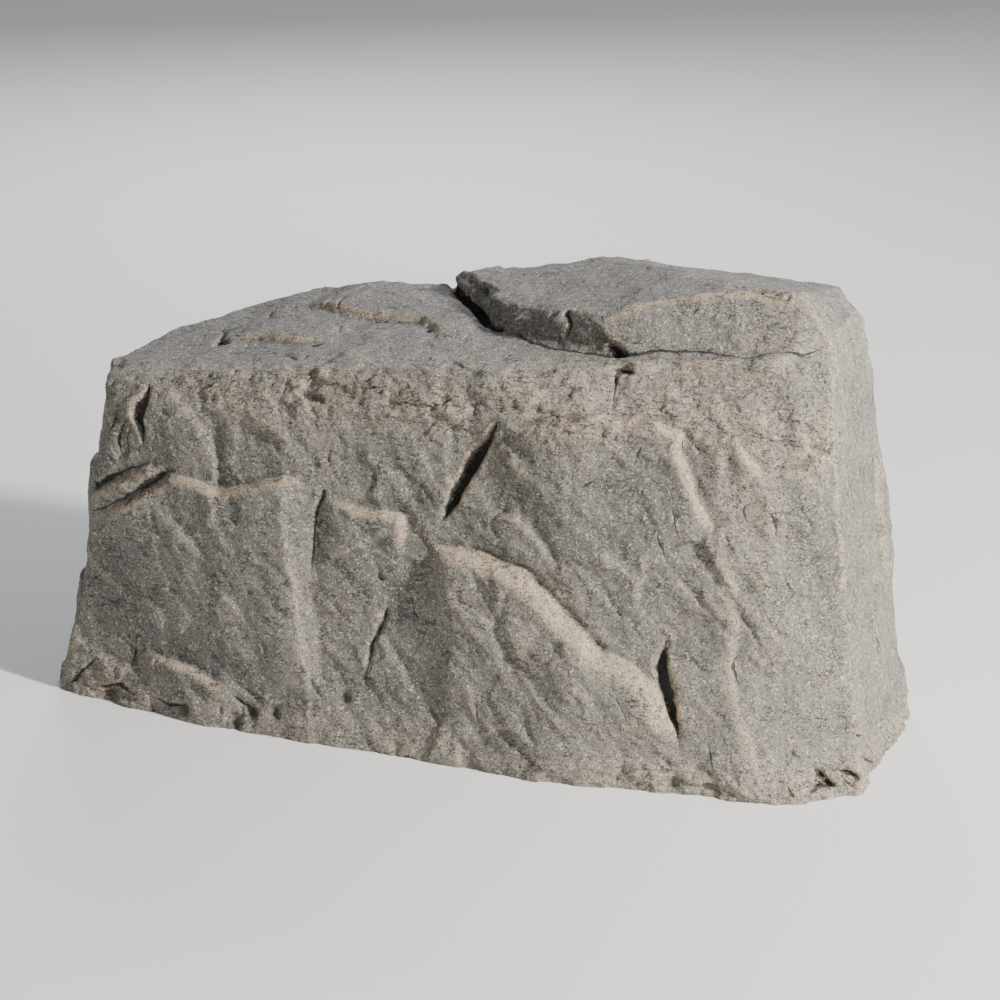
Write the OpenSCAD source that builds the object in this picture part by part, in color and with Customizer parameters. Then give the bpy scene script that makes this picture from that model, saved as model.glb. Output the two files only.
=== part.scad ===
// Hollow artificial-rock cover for pond equipment, open underneath.
// Frame: +Z up, the front faces -Y, origin at the middle of the base on the ground.

/* [Shell] */
// Thickness of the cast shell
wall = 8; // [7:1:10]

/* [Hose notch] */
// Width of the notch at the foot of the rear wall
notch_w = 200; // [140:10:220]
// Height of the notch along the wall
notch_h = 130; // [90:10:160]
// Radius of the notch's two upper corners
notch_r = 42; // [20:2:60]

/* [Base battens] */
// Height of a batten
batten_h = 44; // [40:2:56]
// Gap between the ground and a batten
batten_lift = 4; // [2:1:8]

/* [Ribs] */
// Thickness of a rib along the rock
rib_t = 18; // [12:1:24]
// Depth of a rib, measured in from the shell
rib_depth = 36; // [25:1:45]

/* [Ground stakes] */
// Diameter of a stake's rod
stake_d = 10; // [8:1:12]
// Length of the straight rod
stake_len = 300; // [260:10:310]
// Radius of the hook, to the middle of the rod
hook_r = 14; // [12:1:16]
// Distance of each stake from the middle of the rear wall
stake_x = 185; // [180:5:200]

/* [Hidden] */
$fn = 64;

REACH = 1500;       // larger than the rock, for the blocks that cut its facets
GLUE = 0.5;         // bond line between the shell and what is bonded in it

// A facet is [azimuth of its outward normal, upward tilt of that normal, a point on it].
// Azimuth 0 is +X and 90 is +Y.
REAR = [90, 8, [0, 233, 0]];
WALLS = [
    [ -97,  9,  [-300, -234, 0]],    // front, left part
    [ -90,  9,  [0, -236, 0]],       // front, middle
    [ -82,  9,  [423, -205, 0]],     // front, right part
    [ -62,  8,  [423, -205, 0]],     // broad corner, front right
    [   0,  8.5, [556, 0, 0]],       // right end
    [  50,  6,  [556, 130, 0]],      // rear right corner
    [  83,  8,  [300, 233, 0]],      // rear, right part
    REAR,
    [ 127, 10,  [-469, 149, 0]],     // rear left corner
    [ 180,  7,  [-556, 0, 0]],       // left end
    [-160, 11,  [-548, -165, 0]],    // left end, front part
    [-125, 10,  [-540, -198, 0]]     // front left corner
];
BEVELS = [
    [ -84, 30, [250, -155, 455]],    // over the front, right part
    [ -60, 32, [450, -110, 480]]     // over the broad corner
];
ROOF = [
    [-143, 79, [0, 0, 515]],         // main top, falling to the left and the front
    [-135, 82, [0, 0, 505]],         // ledge in front of the raised slab
    [ -96, 32, [-200, -160, 432]],   // bevel over the front, left part
    [-135, 42, [-463, -132, 436]],   // bevel over the front left corner
    [ 180, 40, [-484, 0, 440]],      // bevel over the left end
    [  40, 45, [475, 125, 515]],     // bevel over the rear right corner
    [  90, 40, [-150, 166, 510]]     // bevel along the rear
];
SLAB = [
    [-141,  8, [-30, 66, 505]],      // left wall of the slab, over the crevice
    [-110, 18, [120, -53, 512]],     // front wall, left part
    [ -90, 44, [300, -90, 525]],     // front wall, right part
    [ -66, 42, [461, -63, 545]],     // front wall, at the right end
    [  86, 80, [300, -10, 599]],     // top of the slab
    [-149, 77, [187, -55, 563]],     // top of the slab, falling to the left
    [   5, 45, [450, 100, 563]],     // bevel over the right end
    [  90, 38, [200, 156, 568]]      // bevel along the rear
];

// A batten is [name, azimuth of its wall, distance of its inner face, start, end along the wall].
BATTEN_FACE_Y = 190;    // inner face of the front and rear battens
BATTENS = [
    ["batten_front", -90, BATTEN_FACE_Y, -300, 270],
    ["batten_right", 0, 512, -105, 95],
    ["batten_rear_right", 90, BATTEN_FACE_Y, -345, -125],
    ["batten_rear_left", 90, BATTEN_FACE_Y, 125, 345],
    ["batten_left", 180, 505, -70, 150]
];
BATTEN_BLANK = 80;      // thickness of a batten's bar before it is scribed to the shell
RIBS = [["rib_left", -285], ["rib_middle", 5], ["rib_right", 250]];   // name, distance along
RIB_FOOT = batten_lift + batten_h + GLUE;
RIB_OVER_NOTCH = 30;    // how far a rib stops above the notch

BRACKET_T = 4;          // thickness of a bracket's steel
BRACKET_W = 64;
BRACKET_LEG = 38;       // height of the leg that is screwed to the batten
BRACKET_REACH = 88;     // length of the leg that holds the bush
BRACKET_TOP = batten_lift + batten_h - 2;
STAKE_Y = 126;
BUSH_R = stake_d / 2 + 5;
BUSH_CLEARANCE = 0.06;
BUSH_FLANGE_R = BUSH_R + 5;
BUSH_SNAP_R = BUSH_R + 1.5;
BUSH_FLANGE_T = 3;
BUSH_BELOW = 9;         // how far the bush reaches under the bracket
STAKE_TIP_Z = 3;        // height of the tip above the ground with the stake raised
STAKE_POINT = 22;       // length of the tapered point
STAKE_TIP_R = 1.5;
HOOK_LEG = 18;

TRIM_T = 3;             // thickness of the trim's rubber
TRIM_LIP = 13;          // how far the trim's lips reach over the wall
TRIM_GAP = 0.2;
TRIM_FOOT = 1;          // gap between the ground and the trim
SCREW_R = 2.5;
SCREW_LENGTH = 24;
SCREW_HEAD_R = 5;
SCREW_HEAD_T = 3;
SCREW_SPACING = 36;
SCREW_DROP = 24;        // how far the screws lie below the bracket's top
SCREW_CLEARANCE = 0.1;

function facet_normal(f) = [cos(f[0]) * cos(f[1]), sin(f[0]) * cos(f[1]), sin(f[1])];

// Everything on the outer side of a facet that has been moved in by inset.
module beyond(f, inset) {
    rotate([0, -f[1], f[0]])
        translate([facet_normal(f) * f[2] - inset, -REACH, -REACH])
            cube([2 * REACH, 2 * REACH, 2 * REACH]);
}

// The part of the child that lies inside all the facets.
module inside(facets, inset) {
    difference() {
        children();
        for (f = facets) beyond(f, inset);
    }
}

// The part of the child that lies inside the rock: a leaning block with a raised slab on its right.
module inside_rock(inset) {
    inside(concat(WALLS, BEVELS, ROOF), inset) children();
    inside(concat(WALLS, BEVELS, SLAB), inset) children();
}

// A block that spans the whole rock, from a given height up.
module blank(bottom) {
    translate([-REACH / 2, -REACH / 2, bottom]) cube([REACH, REACH, REACH / 2]);
}

// Places a flat drawing on the rear wall: X along it, Y up it, and Z outwards.
module on_rear_wall() {
    translate(REAR[2]) rotate([90 - REAR[1], 0, 180]) children();
}

// The notch's outline, grown by a margin, and reaching under the ground.
module notch_outline(grow = 0) {
    w = notch_w + 2 * grow;
    h = notch_h + grow;
    r = notch_r + grow;
    below = 30;
    translate([-w / 2, -below]) square([w, h - r + below]);
    translate([-w / 2 + r, 0]) square([w - 2 * r, h]);
    for (side = [-1, 1]) translate([side * (w / 2 - r), h - r]) circle(r);
}

module rock_shell() {
    color([0.52, 0.50, 0.45]) difference() {
        inside_rock(0) blank(0);
        inside_rock(wall) blank(-5);
        on_rear_wall() translate([0, 0, -3 * wall]) linear_extrude(5 * wall) notch_outline();
    }
}

// A U-shaped rubber edging over the raw edge of the notch.
module notch_trim() {
    lip = TRIM_T + TRIM_GAP;
    color([0.10, 0.10, 0.10]) difference() {
        on_rear_wall() {
            translate([0, 0, -wall - lip]) linear_extrude(wall + 2 * lip) difference() {
                notch_outline(-TRIM_GAP);
                notch_outline(-lip);
            }
            for (face = [TRIM_GAP, -wall - lip]) translate([0, 0, face]) linear_extrude(TRIM_T)
                difference() {
                    notch_outline(TRIM_LIP);
                    notch_outline(-lip);
                }
        }
        translate([-REACH, -REACH, TRIM_FOOT - REACH]) cube([2 * REACH, 2 * REACH, REACH]);
    }
}

// A straight batten along one wall, scribed to the shell.
module batten(b) {
    color([0.20, 0.20, 0.19]) difference() {
        inside(WALLS, wall + GLUE) rotate([0, 0, b[1]])
            translate([b[2], b[3], batten_lift])
                cube([BATTEN_BLANK, b[4] - b[3], batten_h]);
        for (side = [-1, 1]) bracket_screws(side, SCREW_CLEARANCE);
    }
}

// An arched rib under the roof, standing on the battens and stopping over the notch.
module rib(x) {
    color([0.62, 0.55, 0.38]) difference() {
        inside_rock(wall + GLUE)
            translate([x - rib_t / 2, -REACH / 2, RIB_FOOT]) cube([rib_t, REACH, REACH]);
        inside_rock(wall + GLUE + rib_depth)
            translate([x - rib_t, -REACH / 2, 0]) cube([2 * rib_t, REACH, REACH]);
        translate([-notch_w / 2, 0, 0]) cube([notch_w, REACH, notch_h + RIB_OVER_NOTCH]);
    }
}

// A steel angle that holds the stake's bush, screwed to a rear batten.
module anchor_bracket(side) {
    color([0.62, 0.64, 0.66]) difference() {
        translate([side * stake_x - BRACKET_W / 2, BATTEN_FACE_Y - GLUE, BRACKET_TOP]) {
            translate([0, -BRACKET_REACH, -BRACKET_T])
                cube([BRACKET_W, BRACKET_REACH, BRACKET_T]);
            translate([0, -BRACKET_T, -BRACKET_LEG])
                cube([BRACKET_W, BRACKET_T, BRACKET_LEG]);
        }
        translate([side * stake_x, STAKE_Y, 0])
            cylinder(h = 2 * BRACKET_TOP, r = BUSH_R + BUSH_CLEARANCE);
        bracket_screws(side, SCREW_CLEARANCE);
    }
}

// The two pan-head screws of one bracket, with a margin round their shanks.
module bracket_screws(side, margin = 0) {
    color([0.70, 0.71, 0.72]) for (end = [-1, 1])
        translate([
            side * stake_x + end * SCREW_SPACING / 2,
            BATTEN_FACE_Y - GLUE - BRACKET_T,
            BRACKET_TOP - SCREW_DROP
        ]) rotate([90, 0, 0]) {
            cylinder(h = SCREW_HEAD_T, r = SCREW_HEAD_R);
            translate([0, 0, -SCREW_LENGTH - margin])
                cylinder(h = SCREW_LENGTH + margin, r = SCREW_R + margin);
        }
}

// A nylon bush snapped into the bracket, free to turn.
module stake_bush(side) {
    top = BRACKET_TOP + BUSH_CLEARANCE;
    under = BRACKET_TOP - BRACKET_T - BUSH_CLEARANCE;
    color([0.85, 0.84, 0.78]) translate([side * stake_x, STAKE_Y, 0]) difference() {
        union() {
            translate([0, 0, under - BUSH_BELOW])
                cylinder(h = top - under + BUSH_BELOW, r = BUSH_R);
            translate([0, 0, top]) cylinder(h = BUSH_FLANGE_T, r = BUSH_FLANGE_R);
            translate([0, 0, under - BUSH_FLANGE_T]) cylinder(h = BUSH_FLANGE_T, r = BUSH_SNAP_R);
        }
        cylinder(h = REACH, r = stake_d / 2 + BUSH_CLEARANCE);
    }
}

// A hooked steel stake, raised, with its hook along the wall.
module ground_stake(side) {
    r = stake_d / 2;
    top = STAKE_TIP_Z + stake_len;
    color([0.42, 0.40, 0.38]) translate([side * stake_x, STAKE_Y, 0]) {
        translate([0, 0, STAKE_TIP_Z]) cylinder(h = STAKE_POINT, r1 = STAKE_TIP_R, r2 = r);
        translate([0, 0, STAKE_TIP_Z + STAKE_POINT]) cylinder(h = stake_len - STAKE_POINT, r = r);
        translate([side * hook_r, 0, top]) rotate([90, 0, 0])
            rotate_extrude(angle = 180) translate([hook_r, 0]) circle(r);
        translate([side * 2 * hook_r, 0, top - HOOK_LEG]) cylinder(h = HOOK_LEG, r = r);
    }
}

rock_shell();
notch_trim();
for (b = BATTENS) batten(b);
for (r = RIBS) rib(r[1]);
anchor_bracket(-1);  // anchor_bracket_left
anchor_bracket(1);  // anchor_bracket_right
bracket_screws(-1);  // bracket_screws_left
bracket_screws(1);  // bracket_screws_right
stake_bush(-1);  // stake_bush_left
stake_bush(1);  // stake_bush_right
ground_stake(-1);  // ground_stake_left
ground_stake(1);  // ground_stake_right
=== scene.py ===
"""A hollow moulded boulder over pond equipment: its rough cast shell, modelled round the CAD frame."""

import math

import bpy
import numpy as np
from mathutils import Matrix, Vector
from mathutils.bvhtree import BVHTree
from mathutils.geometry import convex_hull_2d
from mathutils.kdtree import KDTree


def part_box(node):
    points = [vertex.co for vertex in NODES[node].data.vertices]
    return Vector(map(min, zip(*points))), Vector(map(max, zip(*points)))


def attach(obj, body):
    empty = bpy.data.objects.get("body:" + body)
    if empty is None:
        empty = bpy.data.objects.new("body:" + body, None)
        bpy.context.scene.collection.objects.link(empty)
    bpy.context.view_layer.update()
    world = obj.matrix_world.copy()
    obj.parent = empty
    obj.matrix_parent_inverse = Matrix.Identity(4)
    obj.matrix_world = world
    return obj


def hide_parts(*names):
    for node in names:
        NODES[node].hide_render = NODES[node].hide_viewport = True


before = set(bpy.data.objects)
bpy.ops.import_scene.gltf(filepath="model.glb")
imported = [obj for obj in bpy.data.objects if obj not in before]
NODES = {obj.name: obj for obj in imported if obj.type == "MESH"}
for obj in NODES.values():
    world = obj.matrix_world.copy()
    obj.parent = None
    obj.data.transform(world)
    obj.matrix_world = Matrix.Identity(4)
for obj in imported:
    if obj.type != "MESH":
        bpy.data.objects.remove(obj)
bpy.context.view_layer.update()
LOW, HIGH = (np.array(corner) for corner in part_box("rock_shell"))

MACRO_VOXEL = 0.004
FINE_VOXEL = 0.0030
INNER_VOXEL = 0.009

# The cast shell
WALL = 0.008            # thickness of the CAD shell
INNER_OFFSET = 0.0083   # from the smooth outer form to the inner face
THINNEST = 0.0065       # thickness kept under the deepest cracks
KEEP_OVER_RIBS = 0.0035 # rock kept over the ribs and battens inside it
FOOT_DEPTH = 0.03       # how far the solids reach under the ground before it is cut

# The hose notch at the foot of the rear wall, whose outward normal leans up by REAR_LEAN degrees
NOTCH_WIDTH, NOTCH_HEIGHT, NOTCH_RADIUS = 0.200, 0.130, 0.042
REAR_LEAN = 8
REAR_FOOT = 0.233
CORNER_STEPS = 12
TRIM_REACH = 0.016      # round the notch the wall stays smooth, for the trim's lips

# Cracks
FAR_FROM_CRACKS = 0.05  # the distance that a point has when no crack is near
CRACK_REACH = 0.03      # how far round a crack's points it is looked for
CRACK_EDGE = 0.007      # how far outside a crack's edge the material still needs its width

MM = 1000               # the material reads lengths in millimetres


# ---------------------------------------------------------------- camera, light and floor

def new_object(name, data):
    """An object that is in the scene."""
    obj = bpy.data.objects.new(name, data)
    bpy.context.collection.objects.link(obj)
    return obj


def new_mesh(name, places, faces):
    """A mesh of these corners and faces."""
    mesh = bpy.data.meshes.new(name)
    mesh.from_pydata(places, [], faces)
    return mesh


def look_at(obj, target):
    """Turns a camera or lamp at obj's place so that it points at target."""
    direction = Vector(target) - obj.location
    obj.rotation_euler = direction.to_track_quat("-Z", "Y").to_euler()


def add_camera():
    """The camera, at the height of a standing person and to the right of the front."""
    azimuth, elevation, distance = math.radians(20.6), math.radians(20.0), 3.78
    target = Vector((0.0, 0.06, 0.25))
    data = bpy.data.cameras.new("camera")
    data.lens = 101.4
    data.sensor_width = 36.0
    camera = new_object("camera", data)
    camera.location = target + distance * Vector((
        math.sin(azimuth) * math.cos(elevation),
        -math.cos(azimuth) * math.cos(elevation),
        math.sin(elevation),
    ))
    look_at(camera, target)
    bpy.context.scene.camera = camera


def add_area_light(name, place, size, power, colour):
    """A soft square lamp that points at the middle of the rock."""
    data = bpy.data.lights.new(name, "AREA")
    data.size = size
    data.energy = power
    data.color = colour
    lamp = new_object(name, data)
    lamp.location = place
    look_at(lamp, (0.0, 0.0, 0.25))


def add_light():
    """A warm key light from the upper right and soft fill from all round."""
    add_area_light("key", (4.20, -0.94, 2.60), 0.40, 560.0, (1.0, 0.965, 0.92))
    add_area_light("fill_left", (-3.4, -2.6, 1.8), 2.5, 6.0, (0.88, 0.94, 1.0))
    add_area_light("back", (-1.6, 3.2, 2.4), 1.2, 85.0, (0.95, 0.97, 1.0))
    world = bpy.data.worlds.new("studio")
    bpy.context.scene.world = world
    world.use_nodes = True
    background = world.node_tree.nodes["Background"]
    background.inputs["Color"].default_value = (0.86, 0.92, 1.0, 1.0)
    background.inputs["Strength"].default_value = 0.26


def add_floor():
    """A pale floor, just under the rock's rim."""
    half = 9.0
    corners = [(-half, -half, 0), (half, -half, 0), (half, half, 0), (-half, half, 0)]
    mesh = new_mesh("floor", corners, [(0, 1, 2, 3)])
    floor = new_object("floor", mesh)
    floor.location.z = -0.0005
    paint = bpy.data.materials.new("floor_paint")
    paint.use_nodes = True
    shader = paint.node_tree.nodes["Principled BSDF"]
    shader.inputs["Base Color"].default_value = (0.86, 0.86, 0.85, 1.0)
    shader.inputs["Roughness"].default_value = 0.9
    mesh.materials.append(paint)


# ---------------------------------------------------------------- noise on arrays of points

def hashed(cells, seed):
    """A repeatable number from 0 to 1 for each row of whole numbers, whose bits large primes mix."""
    c = cells.astype(np.int64).astype(np.uint64)
    h = c[:, 0] * np.uint64(73856093)
    h ^= c[:, 1] * np.uint64(19349663)
    h ^= c[:, 2] * np.uint64(83492791)
    h ^= np.uint64(seed * 2654435761 % 2 ** 32)
    h &= np.uint64(0xFFFFFFFF)
    h ^= h >> np.uint64(15)
    h *= np.uint64(2246822519)
    h &= np.uint64(0xFFFFFFFF)
    h ^= h >> np.uint64(13)
    h *= np.uint64(3266489917)
    h &= np.uint64(0xFFFFFFFF)
    h ^= h >> np.uint64(16)
    return h.astype(float) / 2 ** 32


def hashed_triple(cells, seed):
    """Three such numbers for each row."""
    return np.stack([hashed(cells, seed + k) for k in range(3)], 1)


def noise(points, size, seed):
    """Smooth gradient noise, about -1 to 1, with lumps of the given size."""
    q = points / size
    base = np.floor(q)
    part = q - base
    blend = part ** 3 * (part * (part * 6 - 15) + 10)
    total = np.zeros(len(points))
    for corner in np.ndindex(2, 2, 2):
        step = np.array(corner)
        cell = base + step
        gradient = hashed_triple(cell, seed) - 0.5
        weight = np.prod(np.where(step == 1, blend, 1 - blend), axis=1)
        total += weight * np.sum(gradient * (part - step), axis=1)
    return total * 2.4


def noise_vector(points, size, seed):
    """Noise in each of the three directions."""
    return np.stack([noise(points, size, seed + k) for k in range(3)], 1)


def fractal(points, size, seed, octaves):
    """Several octaves of noise, each half the size and height of the one before."""
    total = np.zeros(len(points))
    for octave in range(octaves):
        total += 0.5 ** octave * noise(points, size / 2 ** octave, seed + 10 * octave)
    return total


def chips(points, size, seed):
    """Broken facets, about -1 to 1: each point lies on the tilted plane of its nearest seed."""
    q = points / size
    base = np.floor(q)
    nearest = np.full(len(points), np.inf)
    height = np.zeros(len(points))
    for offset in np.ndindex(3, 3, 3):
        cell = base + np.array(offset) - 1
        away = q - (cell + hashed_triple(cell, seed))
        distance = np.sum(away * away, axis=1)
        closer = np.flatnonzero(distance < nearest)
        nearest[closer] = distance[closer]
        own = cell[closer]
        tilt = hashed_triple(own, seed + 3) - 0.5
        level = hashed(own, seed + 6) - 0.5
        height[closer] = 1.1 * level + 1.6 * np.sum(tilt * away[closer], axis=1)
    return height


def slanted(points, along, across):
    """Points turned so that noise on them stretches along lines that fall to the right."""
    x, y, z = points.T
    return np.stack([(x - z) * along * math.sqrt(0.5), y, (x + z) * across * math.sqrt(0.5)], 1)


def ramp(values, low, high):
    """Smooth step from 0 at low to 1 at high. High may be the smaller one."""
    t = np.clip((values - low) / (high - low), 0.0, 1.0)
    return t * t * (3 - 2 * t)


# ---------------------------------------------------------------- the rock's features
#
# Features are drawn on a face, in metres: "front" and "rear" as (x, z), "top" as (x, y), and
# "left" and "end", the left and the right end, as (y, z).

# A ledge's raised side lies to the left of its direction. rise is its height, bevel the width of its
# slope, fade how far behind the edge it dies away, and tan how worn and sandy its crest is, where more
# than 1 keeps it so towards the line's two ends. groove, under the edge, is a share of the rise.
LEDGES = [
    # face, rise, bevel, fade, tan, groove, points
    # the long diagonal ridge of the lower middle
    ("front", 0.020, 0.023, 0.17, 1.5, 0.2, [
        (0.340, 0.065), (0.320, 0.105), (0.300, 0.135), (0.275, 0.155), (0.235, 0.170), (0.215, 0.190),
        (0.150, 0.240), (0.130, 0.260), (0.090, 0.268), (0.040, 0.277), (-0.010, 0.270)]),
    # top edge of the large plate on the left
    ("front", 0.015, 0.011, 0.20, 1.3, 0.1, [
        (-0.165, 0.340), (-0.205, 0.341), (-0.250, 0.322), (-0.302, 0.311), (-0.341, 0.321),
        (-0.364, 0.320), (-0.402, 0.292), (-0.436, 0.271), (-0.479, 0.251)]),
    # small plate over it, at the left corner
    ("front", 0.010, 0.008, 0.06, 0.6, 0.1, [
        (-0.369, 0.324), (-0.403, 0.328), (-0.449, 0.298), (-0.492, 0.276)]),
    # upright step in the left third
    ("front", 0.008, 0.030, 0.12, 0.2, 0.1, [
        (-0.137, 0.065), (-0.148, 0.130), (-0.160, 0.200), (-0.160, 0.250), (-0.150, 0.322)]),
    # kite-shaped plate left of the middle
    ("front", 0.011, 0.008, 0.07, 1.3, 0.2, [
        (-0.045, 0.250), (-0.035, 0.284), (-0.039, 0.306), (-0.058, 0.309), (-0.090, 0.309),
        (-0.118, 0.316), (-0.150, 0.323)]),
    # crest between the front and the broad right corner
    ("front", 0.006, 0.014, 0.09, 0.5, 0.0, [
        (0.445, 0.016), (0.431, 0.062), (0.406, 0.124), (0.399, 0.174), (0.400, 0.224), (0.390, 0.273),
        (0.372, 0.318)]),
    ("front", 0.003, 0.007, 0.02, 0.5, 0.0, [(0.371, 0.340), (0.370, 0.400), (0.364, 0.450)]),
    # small crests under the right end of the slab
    ("front", 0.007, 0.006, 0.03, 1.2, 0.2, [(0.424, 0.396), (0.396, 0.427), (0.379, 0.454)]),
    ("front", 0.006, 0.006, 0.03, 1.2, 0.1, [(0.472, 0.425), (0.453, 0.464)]),
    ("front", 0.007, 0.006, 0.04, 1.2, 0.2, [
        (0.491, 0.436), (0.491, 0.422), (0.472, 0.427), (0.457, 0.409), (0.430, 0.401)]),
    # upper right plate, its top and its right edge
    ("front", 0.013, 0.012, 0.16, 1.0, 0.15, [
        (0.370, 0.315), (0.342, 0.368), (0.318, 0.425), (0.318, 0.450), (0.280, 0.461), (0.237, 0.459),
        (0.200, 0.460), (0.160, 0.450), (0.110, 0.436), (0.082, 0.436)]),
    # right edge of the slash over the middle
    ("front", 0.007, 0.006, 0.06, 0.5, 0.0, [
        (0.090, 0.437), (0.070, 0.406), (0.052, 0.374), (0.038, 0.347), (0.030, 0.320)]),
    # thin ridge inside that plate
    ("front", 0.006, 0.008, 0.05, 0.45, 0.22, [
        (0.176, 0.254), (0.154, 0.290), (0.118, 0.325), (0.080, 0.328), (0.060, 0.345)]),
    # foot ledge on the left
    ("front", 0.011, 0.009, 0.06, 0.9, 0.1, [
        (-0.258, 0.055), (-0.292, 0.059), (-0.331, 0.069), (-0.378, 0.076), (-0.418, 0.084)]),
    # faint ridges on the left plate
    ("front", 0.004, 0.010, 0.05, 0.25, 0.22, [(-0.298, 0.217), (-0.338, 0.250), (-0.386, 0.282)]),
    ("front", 0.004, 0.009, 0.04, 0.25, 0.22, [(-0.357, 0.131), (-0.389, 0.148), (-0.406, 0.180)]),
    ("front", 0.004, 0.010, 0.04, 0.20, 0.22, [(-0.396, 0.147), (-0.445, 0.172), (-0.486, 0.199)]),
    # lower edge of the crumbly band
    ("front", -0.005, 0.012, 0.05, 0.3, 0.22, [
        (-0.195, 0.380), (-0.226, 0.396), (-0.270, 0.405), (-0.330, 0.400)]),
    # steps on the low part of the top
    ("top", 0.007, 0.008, 0.10, 1.0, 0.0, [
        (-0.370, -0.019), (-0.309, -0.022), (-0.242, -0.041), (-0.190, -0.046)]),
    ("top", 0.008, 0.009, 0.12, 1.0, 0.0, [
        (-0.300, 0.085), (-0.248, 0.064), (-0.191, 0.039), (-0.128, 0.025), (-0.095, 0.020),
        (-0.065, -0.010), (-0.040, -0.045)]),
    # edges of the slab's top, and the lip under its front
    ("top", 0.002, 0.006, 0.03, 0.5, 0.0, [(-0.085, 0.138), (-0.017, 0.067), (0.020, 0.030)]),
    ("front", 0.002, 0.009, 0.03, 1.3, 0.0, [
        (0.430, 0.588), (0.412, 0.592), (0.383, 0.594), (0.340, 0.597), (0.279, 0.586), (0.233, 0.576),
        (0.208, 0.568), (0.194, 0.558), (0.198, 0.535)]),
    ("top", 0.003, 0.008, 0.03, 0.6, 0.0, [
        (0.215, -0.122), (0.300, -0.118), (0.380, -0.112), (0.450, -0.085)]),
    # rear wall
    ("rear", 0.013, 0.014, 0.16, 0.7, 0.22, [
        (0.430, 0.330), (0.310, 0.365), (0.220, 0.340), (0.100, 0.300), (-0.020, 0.315), (-0.120, 0.270),
        (-0.190, 0.215), (-0.260, 0.200)]),
    ("rear", 0.010, 0.010, 0.12, 0.6, 0.22, [
        (-0.090, 0.430), (-0.220, 0.400), (-0.330, 0.360), (-0.420, 0.370)]),
    ("rear", 0.009, 0.011, 0.09, 0.6, 0.22, [
        (0.480, 0.120), (0.380, 0.165), (0.270, 0.150), (0.180, 0.180)]),
    ("rear", 0.008, 0.016, 0.10, 0.4, 0.22, [(0.240, 0.540), (0.275, 0.450), (0.245, 0.370)]),
    # left end
    ("left", 0.011, 0.012, 0.12, 0.7, 0.22, [
        (0.120, 0.300), (0.040, 0.330), (-0.060, 0.300), (-0.150, 0.310)]),
    ("left", 0.008, 0.010, 0.08, 0.5, 0.22, [
        (0.110, 0.130), (0.020, 0.160), (-0.080, 0.130), (-0.130, 0.150)]),
    # steps on the right end
    ("end", 0.008, 0.014, 0.08, 0.6, 0.22, [(0.100, 0.400), (0.070, 0.290), (0.090, 0.170)]),
    ("end", 0.007, 0.007, 0.04, 0.9, 0.22, [
        (-0.058, 0.030), (-0.054, 0.050), (-0.022, 0.085), (0.008, 0.116), (0.025, 0.150)]),
]

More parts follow.
